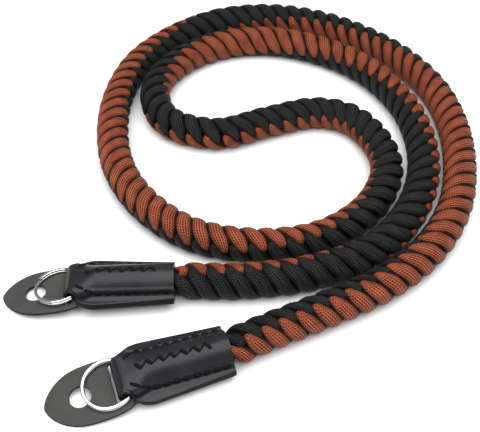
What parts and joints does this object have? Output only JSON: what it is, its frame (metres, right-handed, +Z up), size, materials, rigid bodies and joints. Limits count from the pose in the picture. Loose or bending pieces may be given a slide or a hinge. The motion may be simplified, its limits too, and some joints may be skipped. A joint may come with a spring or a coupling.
{
  "type": "camera strap",
  "caption": "Round knotted black and brown cord camera strap lying in a flat coil, with sewn leather end sheaths, steel split rings and drop-shaped leather pads.",
  "frame": {"origin": "on the table, under the middle of the bounding box", "axes": "+X to the right and +Y away from the viewer in the picture, +Z up off the table"},
  "size_m": [0.168, 0.2117, 0.0124],
  "materials": {
    "black_cord": "matte braided nylon, charcoal black",
    "brown_cord": "matte braided nylon, rust brown",
    "sheath_leather": "smooth satin black leather",
    "pad_leather": "matte dark grey leather",
    "steel": "polished nickel-plated steel"
  },
  "bodies": {
    "root": {"black_cord": "black_cord", "brown_cord": "brown_cord", "rear_sheath": "sheath_leather", "front_sheath": "sheath_leather", "rear_split_ring": "steel", "front_split_ring": "steel", "rear_pad": "pad_leather", "front_pad": "pad_leather"}
  },
  "joints": []
}
